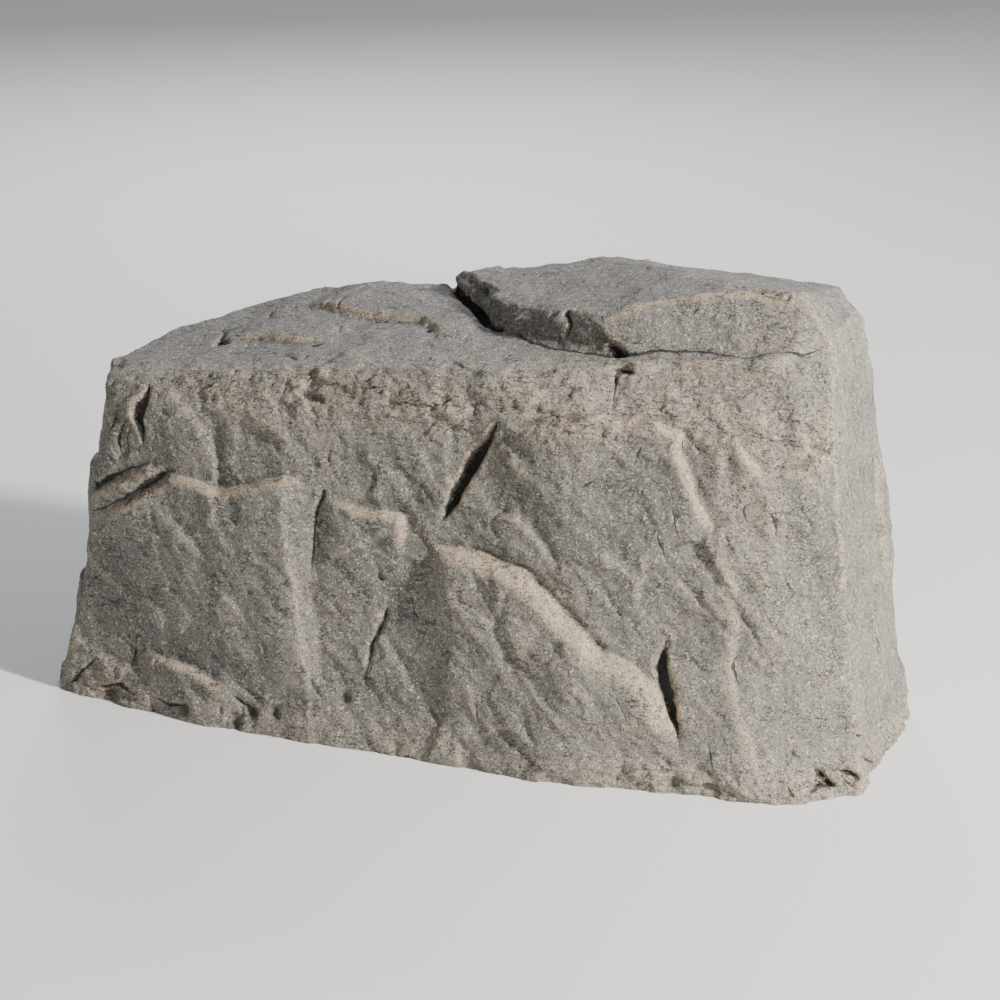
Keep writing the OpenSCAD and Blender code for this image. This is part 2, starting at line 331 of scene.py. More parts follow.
# Each point of a crack carries its width there as a third number.
CRACKS = [
    # face, depth, points
    # the deep slash over the middle, and the notch at the ridge's foot
    ("front", 0.022, [
        (0.082, 0.438, 0.003), (0.063, 0.406, 0.008), (0.046, 0.374, 0.013), (0.032, 0.347, 0.014),
        (0.022, 0.325, 0.010), (0.016, 0.306, 0.002)]),
    ("front", 0.018, [
        (0.316, 0.200, 0.001), (0.308, 0.160, 0.009), (0.314, 0.136, 0.018), (0.328, 0.104, 0.012),
        (0.338, 0.070, 0.002)]),
    ("front", 0.010, [
        (-0.054, 0.186, 0.002), (-0.060, 0.158, 0.005), (-0.070, 0.134, 0.006), (-0.075, 0.114, 0.003),
        (-0.080, 0.082, 0.001)]),
    ("front", 0.005, [(-0.027, 0.216, 0.001), (-0.018, 0.187, 0.003), (0.008, 0.154, 0.001)]),
    # over the two plates at the left corner
    ("front", 0.012, [
        (-0.496, 0.282, 0.010), (-0.473, 0.294, 0.007), (-0.449, 0.306, 0.004), (-0.426, 0.319, 0.003),
        (-0.405, 0.331, 0.001)]),
    ("front", 0.010, [
        (-0.488, 0.248, 0.003), (-0.464, 0.261, 0.002), (-0.440, 0.275, 0.002), (-0.420, 0.288, 0.003),
        (-0.402, 0.301, 0.008), (-0.387, 0.313, 0.006), (-0.366, 0.324, 0.001)]),
    ("front", 0.004, [(-0.422, 0.282, 0.003), (-0.431, 0.262, 0.001)]),
    ("front", 0.004, [(-0.422, 0.282, 0.002), (-0.414, 0.268, 0.001)]),
    # along the upright step
    ("front", 0.006, [
        (-0.146, 0.326, 0.004), (-0.156, 0.295, 0.004), (-0.160, 0.260, 0.003), (-0.160, 0.220, 0.002),
        (-0.160, 0.190, 0.001)]),
    # hole and streaks at the upper left
    ("front", 0.014, [
        (-0.411, 0.426, 0.002), (-0.416, 0.410, 0.009), (-0.422, 0.397, 0.016), (-0.424, 0.385, 0.011),
        (-0.416, 0.370, 0.004), (-0.413, 0.350, 0.001)]),
    ("front", 0.006, [
        (-0.440, 0.384, 0.001), (-0.447, 0.368, 0.004), (-0.451, 0.350, 0.005), (-0.444, 0.328, 0.001)]),
    ("front", 0.004, [(-0.432, 0.376, 0.001), (-0.438, 0.352, 0.003), (-0.436, 0.326, 0.001)]),
    ("front", 0.005, [(-0.457, 0.394, 0.001), (-0.460, 0.376, 0.004), (-0.472, 0.350, 0.001)]),
    # short cracks of the plates
    ("front", 0.004, [(0.198, 0.371, 0.001), (0.206, 0.379, 0.003), (0.215, 0.386, 0.001)]),
    ("front", 0.004, [(0.261, 0.406, 0.002), (0.264, 0.418, 0.003), (0.269, 0.425, 0.001)]),
    ("front", 0.005, [(0.310, 0.358, 0.001), (0.314, 0.338, 0.003), (0.324, 0.312, 0.001)]),
    ("front", 0.004, [(0.294, 0.322, 0.002), (0.299, 0.308, 0.004), (0.306, 0.290, 0.001)]),
    ("front", 0.004, [(0.007, 0.409, 0.001), (0.012, 0.424, 0.003), (0.026, 0.430, 0.001)]),
    ("front", 0.005, [(0.404, 0.187, 0.001), (0.397, 0.166, 0.004), (0.406, 0.142, 0.001)]),
    ("front", 0.004, [(0.400, 0.372, 0.001), (0.396, 0.358, 0.004), (0.400, 0.344, 0.001)]),
    ("front", 0.005, [(0.428, 0.356, 0.001), (0.433, 0.344, 0.004), (0.438, 0.330, 0.001)]),
    # short cracks of the foot
    ("front", 0.008, [(-0.420, 0.084, 0.001), (-0.422, 0.070, 0.005), (-0.424, 0.052, 0.002)]),
    ("front", 0.007, [(-0.520, 0.014, 0.003), (-0.500, 0.034, 0.006), (-0.475, 0.056, 0.001)]),
    ("front", 0.007, [(-0.470, 0.014, 0.002), (-0.440, 0.022, 0.007), (-0.405, 0.016, 0.001)]),
    ("front", 0.006, [(-0.385, 0.022, 0.001), (-0.355, 0.016, 0.006), (-0.330, 0.020, 0.002)]),
    ("front", 0.006, [(-0.262, 0.042, 0.001), (-0.250, 0.036, 0.005), (-0.225, 0.026, 0.001)]),
    ("front", 0.006, [(0.076, 0.088, 0.001), (0.082, 0.070, 0.004), (0.088, 0.050, 0.001)]),
    ("front", 0.005, [(0.103, 0.128, 0.003), (0.117, 0.107, 0.001)]),
    ("front", 0.005, [(0.260, 0.118, 0.003), (0.278, 0.088, 0.001)]),
    ("front", 0.005, [(0.045, 0.135, 0.003), (0.061, 0.112, 0.001)]),
    ("front", 0.006, [(0.374, 0.070, 0.001), (0.379, 0.050, 0.004), (0.382, 0.034, 0.001)]),
    # gap at the front corner of the raised slab, and the crack under it
    ("front", 0.018, [
        (0.200, 0.522, 0.003), (0.213, 0.520, 0.010), (0.224, 0.514, 0.013), (0.238, 0.508, 0.003)]),
    ("front", 0.006, [(0.220, 0.508, 0.004), (0.226, 0.486, 0.003), (0.227, 0.460, 0.001)]),
    # crack in the slab's front left block
    ("front", 0.008, [
        (0.122, 0.562, 0.003), (0.129, 0.548, 0.007), (0.140, 0.540, 0.004), (0.132, 0.522, 0.001)]),
    # gaps in the toe at the front right corner
    ("front", 0.012, [(0.500, 0.030, 0.005), (0.508, 0.022, 0.008), (0.522, 0.010, 0.003)]),
    ("front", 0.010, [(0.493, 0.008, 0.003), (0.502, 0.013, 0.008), (0.520, 0.011, 0.004)]),
    ("front", 0.012, [(0.524, 0.030, 0.002), (0.538, 0.024, 0.010), (0.551, 0.014, 0.006)]),
    ("front", 0.005, [(0.524, 0.026, 0.001), (0.536, 0.014, 0.003), (0.546, 0.006, 0.001)]),
    ("front", 0.006, [(0.466, 0.020, 0.002), (0.470, 0.008, 0.004)]),
    ("end", 0.006, [(-0.135, 0.086, 0.001), (-0.120, 0.072, 0.005), (-0.098, 0.062, 0.001)]),
    ("end", 0.006, [(-0.118, 0.042, 0.001), (-0.095, 0.028, 0.005), (-0.064, 0.008, 0.002)]),
    # cracks of the top
    ("top", 0.016, [(-0.350, -0.034, 0.003), (-0.362, -0.027, 0.014), (-0.374, -0.018, 0.003)]),
    ("top", 0.006, [
        (-0.374, -0.075, 0.001), (-0.364, -0.026, 0.005), (-0.386, 0.023, 0.004), (-0.382, 0.042, 0.001)]),
    ("top", 0.005, [(-0.327, 0.043, 0.001), (-0.333, 0.062, 0.005), (-0.338, 0.082, 0.001)]),
    ("top", 0.008, [(-0.205, -0.044, 0.002), (-0.216, -0.050, 0.007), (-0.228, -0.048, 0.001)]),
    # crevice along the left wall of the slab
    ("top", 0.022, [
        (-0.118, 0.182, 0.010), (-0.075, 0.115, 0.018), (-0.035, 0.065, 0.018), (0.000, 0.020, 0.012),
        (0.043, -0.020, 0.003)]),
    # foot of the slab's front
    ("top", 0.005, [
        (0.030, -0.010, 0.003), (0.107, -0.063, 0.006), (0.160, -0.079, 0.005), (0.205, -0.088, 0.008)]),
    ("top", 0.004, [
        (0.205, -0.088, 0.008), (0.253, -0.088, 0.004), (0.320, -0.083, 0.003), (0.370, -0.090, 0.003),
        (0.443, -0.074, 0.004), (0.470, -0.050, 0.001)]),
    # rear wall
    ("rear", 0.014, [
        (-0.296, 0.350, 0.002), (-0.318, 0.300, 0.010), (-0.325, 0.270, 0.006), (-0.308, 0.190, 0.001)]),
    ("rear", 0.011, [
        (0.062, 0.495, 0.001), (0.030, 0.440, 0.008), (0.028, 0.410, 0.005), (0.042, 0.350, 0.001)]),
    ("rear", 0.008, [(0.402, 0.294, 0.001), (0.385, 0.255, 0.006), (0.362, 0.210, 0.001)]),
    ("rear", 0.007, [(-0.180, 0.120, 0.001), (-0.196, 0.085, 0.005), (-0.190, 0.040, 0.001)]),
    # the two ends
    ("left", 0.011, [
        (0.052, 0.314, 0.001), (0.032, 0.250, 0.008), (0.034, 0.220, 0.005), (0.056, 0.160, 0.001)]),
    ("left", 0.008, [(-0.080, 0.224, 0.001), (-0.088, 0.195, 0.006), (-0.102, 0.156, 0.001)]),
    ("end", 0.006, [(0.014, 0.122, 0.001), (-0.014, 0.094, 0.005), (-0.046, 0.062, 0.002)]),
    ("end", 0.006, [(0.120, 0.330, 0.001), (0.105, 0.270, 0.005), (0.110, 0.200, 0.001)]),
]

PITS = [
    # face, place, radius, depth
    ("front", (-0.236, 0.025), 0.010, 0.008),
    ("front", (-0.260, 0.006), 0.012, 0.008),
    ("front", (-0.200, 0.030), 0.008, 0.006),
    ("front", (-0.450, 0.008), 0.013, 0.008),
    ("front", (-0.332, 0.016), 0.010, 0.007),
    ("front", (0.337, 0.009), 0.010, 0.006),
    ("front", (-0.106, 0.060), 0.008, 0.006),
    # shallow dents: over the notch at the ridge's foot, and under the upper right plate's top
    ("front", (0.335, 0.200), 0.050, 0.007),
    ("front", (0.250, 0.400), 0.060, 0.004),
]

# The two axes that the features of each face are drawn in
FACES = {"front": (0, 2), "rear": (0, 2), "top": (0, 1), "end": (1, 2), "left": (1, 2)}


def face_weights(normals):
    """How much each point belongs to the face that each feature is drawn on."""
    return {
        "front": ramp(-normals[:, 1], 0.15, 0.45),
        "top": ramp(normals[:, 2], 0.35, 0.60),
        "end": ramp(normals[:, 0], 0.55, 0.80),
        "rear": ramp(normals[:, 1], 0.15, 0.45),
        "left": ramp(-normals[:, 0], 0.55, 0.80),
    }


def along_line(place, points):
    """Each place's signed distance to a line (left is positive) and travel along it, and its length."""
    points = np.array(points, float)[:, :2]
    best = np.full(len(place), np.inf)
    side = np.zeros(len(place))
    travel = np.zeros(len(place))
    start = 0.0
    last = len(points) - 2
    for i, (a, b) in enumerate(zip(points[:-1], points[1:])):
        length = np.linalg.norm(b - a)
        d = (b - a) / length
        away = place - a
        t = away @ d
        cross = d[0] * away[:, 1] - d[1] * away[:, 0]
        inside = np.clip(t, -np.inf if i == 0 else 0.0, np.inf if i == last else length)
        gap = np.hypot(t - inside, cross)
        closer = gap < best
        best = np.where(closer, gap, best)
        side = np.where(closer, np.sign(cross) * gap, side)
        travel = np.where(closer, start + inside, travel)
        start += length
    return side, travel, start


def inset(travel, length):
    """How far in from the nearer end of a line of this length."""
    return np.minimum(travel, length - travel)


def crack_width(points, travel):
    """A crack's width where the travel along it has the given values."""
    points = np.array(points, float)
    steps = np.linalg.norm(np.diff(points[:, :2], axis=0), axis=1)
    along = np.concatenate([[0.0], np.cumsum(steps)])
    ends = ramp(inset(travel, along[-1]), -0.004, 0.001)
    return ends * np.interp(travel, along, points[:, 2])


def near(place, points, reach):
    """Which places lie within reach of the points' box."""
    points = np.array(points, float)[:, :2]
    low, high = points.min(0) - reach, points.max(0) + reach
    return np.flatnonzero(np.all((place > low) & (place < high), axis=1))


def wobbled(points):
    """The points moved a little at random, so that straight lines drawn there come out ragged."""
    return points + (0.005 * noise_vector(points, 0.045, 200) + 0.0025 * noise_vector(points, 0.014, 210))


def ledge_relief(drawn, uneven, weights):
    """Height and tan of the ledges."""
    height, tan = np.zeros(len(drawn)), np.zeros(len(drawn))
    for face, rise, bevel, fade, crest_tan, groove, points in LEDGES:
        place = drawn[:, FACES[face]]
        here = near(place, points, 3 * fade)
        side, travel, length = along_line(place[here], points)
        taper = ramp(inset(travel, length), -0.3 * bevel, min(0.05, 0.3 * length))
        strength = taper * weights[face][here]
        width = bevel * uneven[here]
        # the slope starts just before the line, the groove is at its foot, and the crest is tan
        up = np.clip((side + 0.002) / width, 0, 1)
        top = up * (1.5 - 0.5 * up) * np.exp(-(np.maximum(side - width, 0) / fade) ** 1.4)
        below = groove * np.exp(-((side + 0.003) / 0.004) ** 2)
        height[here] += rise * strength * (top - below)
        behind = np.maximum(side, 0) / (0.75 * width + 0.002)
        crest = ramp(side, -0.003, 0.001) * np.exp(-behind ** 2)
        tan[here] = np.maximum(tan[here], crest_tan * strength * crest)
    return height, tan


def crack_relief(drawn, uneven, weights):
    """Depth of the cracks, the signed distance to the nearest one, and its half width there."""
    carved, half = np.zeros(len(drawn)), np.zeros(len(drawn))
    distance = np.full(len(drawn), FAR_FROM_CRACKS)
    for face, depth, points in CRACKS:
        place = drawn[:, FACES[face]]
        here = near(place, points, CRACK_REACH)
        side, travel, _ = along_line(place[here], points)
        own = 0.5 * crack_width(points, travel) * uneven[here] * weights[face][here]
        mouth = np.maximum(own, 0.0015) * 1.3
        profile = np.clip(1 - np.abs(side) / mouth, 0, 1) ** 0.6 * ramp(own, 0.0, 0.002)
        carved[here] = np.maximum(carved[here], depth * profile)
        nearer = (np.abs(side) - own < np.abs(distance[here]) - half[here]) & (own > 0.0001)
        distance[here] = np.where(nearer, side, distance[here])
        half[here] = np.where(nearer, own, half[here])
    half[np.abs(distance) > half + CRACK_EDGE] = 0.0
    return carved, distance, half


def relief(points, normals):
    """For each point of the smooth rock: how far it moves out, and what the material reads there."""
    drawn = wobbled(points)
    uneven = 1 + 0.5 * noise(points, 0.05, 230)
    weights = face_weights(normals)
    height, tan = ledge_relief(drawn, uneven, weights)
    depth, distance, half = crack_relief(drawn, uneven, weights)
    height -= depth
    dark = np.zeros(len(points))
    for face, centre, radius, pit_depth in PITS:
        place = drawn[:, FACES[face]]
        here = near(place, [centre], 2 * radius)
        gap = np.linalg.norm(place[here] - np.array(centre), axis=1) / radius
        share = weights[face][here] * np.exp(-gap ** 3 * 1.2)
        height[here] -= pit_depth * share
        # painted shade: a pit is darkened the more, the steeper it is
        dark[here] = np.maximum(dark[here], min(0.8, pit_depth / radius) * share)
    return height, {
        "tan": tan,
        "dark": dark,
        "crack": distance * MM,
        "crack_half": half * MM,
        "broken": crumbly(points, normals),
    }


def crumbly(points, normals):
    """Where the surface is broken small, 0 to 1."""
    x, y, z = points.T
    front, rear = ramp(-normals[:, 1], 0.1, 0.4), ramp(normals[:, 1], 0.1, 0.4)
    # the band under the top, in front and behind, and the top's front margin
    band = front * np.exp(-((z - 0.455 + 0.03 * noise(points, 0.2, 31)) / 0.042) ** 2)
    rear_band = 0.7 * rear * np.exp(-((z - 0.50 + 0.03 * noise(points, 0.2, 33)) / 0.04) ** 2)
    margin = ramp(normals[:, 2], 0.5, 0.8) * ramp(y + 0.03 * noise(points, 0.1, 35), -0.07, -0.13)
    # the foot, most of all at its two ends, the front right corner, and patches anywhere
    foot = ramp(z, 0.065, 0.015) * (0.45 + 0.55 * ramp(np.abs(x + 0.05), 0.25, 0.42))
    corner = np.exp(-((x - 0.405) / 0.04) ** 2) * ramp(z, 0.15, 0.40) * front
    patches = ramp(noise(points, 0.12, 37), 0.25, 0.7)
    zones = [band, rear_band, 0.6 * margin, foot, 0.7 * corner, 0.5 * patches]
    return np.clip(np.maximum.reduce(zones), 0, 1)


def broad_relief(points, normals):
    """Slow swells of the faces, the flare of the foot, and the toe at the front right corner."""
    swell = 0.0065 * noise(points, 0.23, 11) + 0.0035 * noise(points, 0.11, 13)
    swell += 0.0022 * noise(points, 0.055, 15)
    bent = points + 0.012 * noise_vector(points, 0.06, 17)
    # facets, fainter on the top and coarser on the sides that the front view doesn't show
    calm = 1 - 0.6 * ramp(normals[:, 2], 0.4, 0.8)
    swell += 0.0042 * calm * chips(slanted(bent, 0.6, 1.0), 0.105, 21)
    swell += 0.0016 * calm * chips(slanted(bent, 0.5, 1.1), 0.050, 25)
    unseen = np.maximum(ramp(normals[:, 1], 0.2, 0.5), ramp(-normals[:, 0], 0.6, 0.9))
    swell += 0.0060 * unseen * chips(bent, 0.150, 27)
    x, y, z = points.T
    # upright swells round the right corner
    upright = points * (1, 1, 0.22)
    swell += 0.0040 * ramp(x, 0.36, 0.42) * ramp(normals[:, 2], 0.8, 0.5) * noise(upright, 0.045, 29)
    toe = 0.015 * np.exp(-((x - 0.49) / 0.06) ** 2 - ((y + 0.18) / 0.06) ** 2 - (z / 0.03) ** 2)
    flare = 0.006 * ramp(z, 0.07, 0.0) * ramp(-normals[:, 1], 0.2, 0.5) * ramp(x, -0.55, -0.45)
    return swell + toe + flare


def fine_relief(points, normals):
    """The small break-up of the whole surface."""
    broken = crumbly(points, normals)
    x, z = points[:, 0], points[:, 2]
    front, rear = ramp(-normals[:, 1], 0.3, 0.6), ramp(normals[:, 1], 0.3, 0.6)
    end = ramp(normals[:, 0], 0.55, 0.85)
    height = 0.0008 * fractal(points, 0.040, 41, 3)
    height += 0.0034 * broken * chips(points * (0.7, 1, 1.4), 0.034, 51)
    height += 0.0026 * (0.1 + 0.9 * broken) * chips(points * (0.75, 1, 1.3), 0.017, 61)
    # flakes and scoured lines that fall to the right
    flaked = 0.0015 * np.maximum(front, rear) * (1 - broken)
    height += flaked * chips(slanted(points, 0.45, 1.1), 0.030, 65)
    height += 0.0007 * chips(slanted(points, 0.6, 1.1), 0.013, 71)
    scoured = front * ramp(z, 0.36, 0.26) * ramp(x, -0.15, 0.0)
    height += 0.0013 * scoured * noise(slanted(points, 0.2, 1.4), 0.016, 81)
    creases = ramp(np.abs(noise(slanted(points, 0.4, 1.2), 0.045, 85)), 0.05, 0.0)
    creases *= ramp(noise(points, 0.05, 87), 0.15, 0.45)
    height -= 0.0030 * creases
    # upright lines on the right end
    height += 0.0026 * end * fractal(points * (1, 1, 0.12), 0.022, 91, 2)
    return height


# ---------------------------------------------------------------- mesh tools

def read(collection, name, kind, width=1):
    """One property of everything in a mesh's collection, as an array."""
    flat = np.empty(len(collection) * width, kind)
    collection.foreach_get(name, flat)
    return flat.reshape(-1, width) if width > 1 else flat


def vertex_places(mesh):
    return read(mesh.vertices, "co", float, 3)


def vertex_normals(mesh):
    return read(mesh.vertex_normals, "vector", np.float32, 3).astype(float)


def set_places(mesh, places):
    mesh.vertices.foreach_set("co", places.ravel())
    mesh.update()


def edge_ends(mesh):
    return read(mesh.edges, "vertices", np.int32, 2)


def neighbour_mean(values, ends):
    """The mean of each vertex's neighbours."""
    count = np.bincount(ends.ravel(), minlength=len(values))
    total = np.zeros_like(values)
    for k in range(values.shape[1]):
        column = values[:, k]
        total[:, k] += np.bincount(ends[:, 0], column[ends[:, 1]], len(values))
        total[:, k] += np.bincount(ends[:, 1], column[ends[:, 0]], len(values))
    return total / np.maximum(count, 1)[:, None]


def relax(mesh, rounds, strength):
    """Laplacian smoothing. strength is a number or one number per vertex."""
    places, ends = vertex_places(mesh), edge_ends(mesh)
    factor = np.broadcast_to(strength, (len(places),))[:, None]
    for _ in range(rounds):
        places += factor * (neighbour_mean(places, ends) - places)
    set_places(mesh, places)


def with_modifier(mesh, kind, **settings):
    """The mesh after one modifier."""
    holder = new_object("holder", mesh)
    modifier = holder.modifiers.new("modifier", kind)
    for name, value in settings.items():
        setattr(modifier, name, value)
    graph = bpy.context.evaluated_depsgraph_get()
    result = bpy.data.meshes.new_from_object(holder.evaluated_get(graph), depsgraph=graph)
    bpy.data.objects.remove(holder)
    return result


def remeshed(mesh, voxel):
    return with_modifier(mesh, "REMESH", mode="VOXEL", voxel_size=voxel, adaptivity=0.0)


def cut(mesh, tool_mesh):
    """A closed mesh less another."""
    tool = new_object("tool", tool_mesh)
    result = with_modifier(mesh, "BOOLEAN", operation="DIFFERENCE", object=tool, solver="MANIFOLD")
    bpy.data.objects.remove(tool)
    return result


def block(low, high):
    """A box mesh between two corners."""
    corners = [(x, y, z) for x in (low[0], high[0]) for y in (low[1], high[1]) for z in (low[2], high[2])]
    sides = [(0, 1, 3, 2), (4, 6, 7, 5), (0, 4, 5, 1), (2, 3, 7, 6), (0, 2, 6, 4), (1, 5, 7, 3)]
    return new_mesh("block", corners, sides)


def prism(name, lower, upper):
    """A closed mesh between two rings of points that run anticlockwise, seen from beyond the upper."""
    count = len(lower)
    faces = [tuple(range(count - 1, -1, -1)), tuple(range(count, 2 * count))]
    faces += [(i, (i + 1) % count, (i + 1) % count + count, i + count) for i in range(count)]
    return new_mesh(name, lower + upper, faces)


def joined(meshes):
    """One mesh that holds several."""
    places, faces = [], []
    for mesh in meshes:
        start = len(places)
        places += [tuple(v.co) for v in mesh.vertices]
        faces += [tuple(start + i for i in face.vertices) for face in mesh.polygons]
    return new_mesh("joined", places, faces)


def largest_piece(mesh):
    """The mesh without its smaller loose pieces."""
    ends = edge_ends(mesh)
    label = np.arange(len(mesh.vertices))
    while True:
        lower = np.minimum(label[ends[:, 0]], label[ends[:, 1]])
        before = label.copy()
        np.minimum.at(label, ends[:, 0], lower)
        np.minimum.at(label, ends[:, 1], lower)
        label = label[label]
        if np.array_equal(before, label):
            break
    names, counts = np.unique(label, return_counts=True)
    if len(names) == 1:
        return mesh
    kept = label == names[np.argmax(counts)]
    number = np.cumsum(kept) - 1
    places = vertex_places(mesh)[kept]
    faces = [[int(number[i]) for i in f.vertices] for f in mesh.polygons if kept[f.vertices[0]]]
    return new_mesh("largest", places.tolist(), faces)


def surface_tree(mesh):
    return BVHTree.FromPolygons([v.co for v in mesh.vertices], [f.vertices[:] for f in mesh.polygons])


def nearest_on(tree, places):
    """The nearest point of a mesh to each place, and its surface normal there."""
    hits, normals = np.empty((len(places), 3)), np.empty((len(places), 3))
    for i, place in enumerate(places.tolist()):
        hits[i], normals[i], _, _ = tree.find_nearest(place)
    return hits, normals


def point_tree(places):
    """A tree that finds the numbers of the nearest places."""
    tree = KDTree(len(places))
    for number, place in enumerate(places.tolist()):
        tree.insert(place, number)
    tree.balance()
    return tree


def bulge(mesh, rounds):
    """How far each vertex stands out from its smoothed neighbourhood."""
    places, ends = vertex_places(mesh), edge_ends(mesh)
    mean = places.copy()
    for _ in range(rounds):
        mean = neighbour_mean(mean, ends)
    return np.sum((places - mean) * vertex_normals(mesh), axis=1)


# ---------------------------------------------------------------- the rock

def notch_prism(inner, outer):
    """A closed prism with the hose notch's outline, between two depths along the rear wall's normal."""
    half = NOTCH_WIDTH / 2
    outline = [(-half, -2 * FOOT_DEPTH)]
    for side, start in ((-1, 180), (1, 90)):
        for step in range(CORNER_STEPS + 1):
            angle = math.radians(start - 90 * step / CORNER_STEPS)
            outline.append((
                side * (half - NOTCH_RADIUS) + NOTCH_RADIUS * math.cos(angle),
                NOTCH_HEIGHT - NOTCH_RADIUS + NOTCH_RADIUS * math.sin(angle),
            ))
    outline.append((half, -2 * FOOT_DEPTH))
    sine, cosine = math.sin(math.radians(REAR_LEAN)), math.cos(math.radians(REAR_LEAN))
    rings = [
        [(x, REAR_FOOT + out * cosine - up * sine, out * sine + up * cosine) for x, up in outline]
        for out in (inner, outer)
    ]
    return prism("notch_prism", *rings)


def outside_notch(points):
    """How far each point lies outside the notch's outline, seen along the rear wall's normal."""
    lean = math.radians(REAR_LEAN)
    up = points[:, 2] * math.cos(lean) - (points[:, 1] - REAR_FOOT) * math.sin(lean)
    over_x = np.abs(points[:, 0]) - (NOTCH_WIDTH / 2 - NOTCH_RADIUS)
    over_z = up - (NOTCH_HEIGHT - NOTCH_RADIUS)
    outside = np.hypot(np.maximum(over_x, 0), np.maximum(over_z, 0)) - NOTCH_RADIUS
    return np.where(points[:, 1] > 0, outside, 1.0)


def footprint_block():
    """The rock's outline on the ground, as a block that reaches under it."""
    places = vertex_places(NODES["rock_shell"].data)
    rim = [Vector(p[:2]) for p in places[places[:, 2] < 0.001]]
    ring = [rim[i] for i in convex_hull_2d(rim)]
    overlap = 0.002
    return prism("footprint", [(p.x, p.y, -FOOT_DEPTH) for p in ring], [(p.x, p.y, overlap) for p in ring])


def smooth_rock():
    """The CAD shell as one filled solid with soft edges, and without its notch."""
    parts = [NODES["rock_shell"].data, footprint_block(), notch_prism(-2 * WALL, 0.0)]
    solid = largest_piece(remeshed(joined(parts), MACRO_VOXEL))
    places = vertex_places(solid)
    on_slab = ramp(places[:, 2], 0.50, 0.56) * ramp(places[:, 0], 0.0, 0.08)
    softness = 0.5 * (0.25 + 0.75 * ramp(noise(places, 0.12, 5), -0.3, 0.4)) * (1 - 0.75 * on_slab)
    relax(solid, 9, softness)
    return solid


def kept_over_ribs(mesh, places, normals):
    """The places moved out where the ribs and battens would show through."""
    hidden = [name for name in NODES if name.startswith(("rib", "batten"))]
    tree = surface_tree(joined([NODES[name].data for name in hidden]))
    close, above, below = 0.015, 0.04, 0.02
    needed = np.zeros(len(places))
    for i, (place, normal) in enumerate(zip(places.tolist(), normals.tolist())):
        if tree.find_nearest(place, close)[0] is None:
            continue
        normal = Vector(normal)
        _, _, _, reach = tree.ray_cast(Vector(place) + above * normal, -normal, above + below)
        if reach is not None:
            needed[i] = max(0.0, KEEP_OVER_RIBS + above - reach)
    ends = edge_ends(mesh)
    spread = needed[:, None]
    for _ in range(5):
        spread = np.maximum(needed[:, None], neighbour_mean(spread, ends))
    return places + normals * spread


def nicks(mesh):
    """How far the mesh's convex edges are broken back, for each vertex."""
    places = vertex_places(mesh)
    edge = ramp(bulge(mesh, 10), 0.0003, 0.0014)
    broken = 0.0060 * ramp(noise(places, 0.06, 261), -0.1, 0.6)
    return edge * (broken + 0.0030 * noise(places, 0.025, 265))


def clear_of_trim(places):
    """0 where the trim's lips hold the wall, 1 away from them."""
    return ramp(outside_notch(places), TRIM_REACH, TRIM_REACH + 0.03)


def rough_rock(smooth):
    """The solid rock with its ledges, cracks and broken surface."""
    places, normals = vertex_places(smooth), vertex_normals(smooth)
    height = relief(places, normals)[0] + broad_relief(places, normals) - nicks(smooth)
    rough = smooth.copy()
    set_places(rough, places + normals * (height * clear_of_trim(places))[:, None])
    rough = remeshed(rough, FINE_VOXEL)
    relax(rough, 1, 0.5)
    places = vertex_places(rough)
    _, normals = nearest_on(surface_tree(smooth), places)
    height = fine_relief(places, normals) * clear_of_trim(places)
    places = places + normals * height[:, None]
    set_places(rough, kept_over_ribs(rough, places, normals))
    return rough


def hollow_inside(smooth, rough):
    """The solid that is cut out of the rock to leave its shell."""
    inner = remeshed(smooth, INNER_VOXEL)
    relax(inner, 2, 0.5)
    outer = vertex_places(rough)
    hits, out_normals = nearest_on(surface_tree(smooth), outer)
    depth = -np.sum((outer - hits) * out_normals, axis=1)
    sunk = np.flatnonzero(depth > INNER_OFFSET - THINNEST)
    tree = point_tree(hits[sunk])
    places, normals = vertex_places(inner), vertex_normals(inner)
    offset = np.full(len(places), INNER_OFFSET)
    for i, place in enumerate(places.tolist()):
        for _, number, _ in tree.find_range(place, 1.4 * INNER_VOXEL):
            offset[i] = max(offset[i], THINNEST + depth[sunk[number]])
    offset += 0.0005 * fractal(places, 0.03, 301, 2)
    set_places(inner, places - normals * offset[:, None])
    return inner


def add_number(mesh, name, values):
    """A number for each vertex, which the material reads."""
    attribute = mesh.attributes.new(name, "FLOAT", "POINT")
    attribute.data.foreach_set("value", np.asarray(values, np.float32))


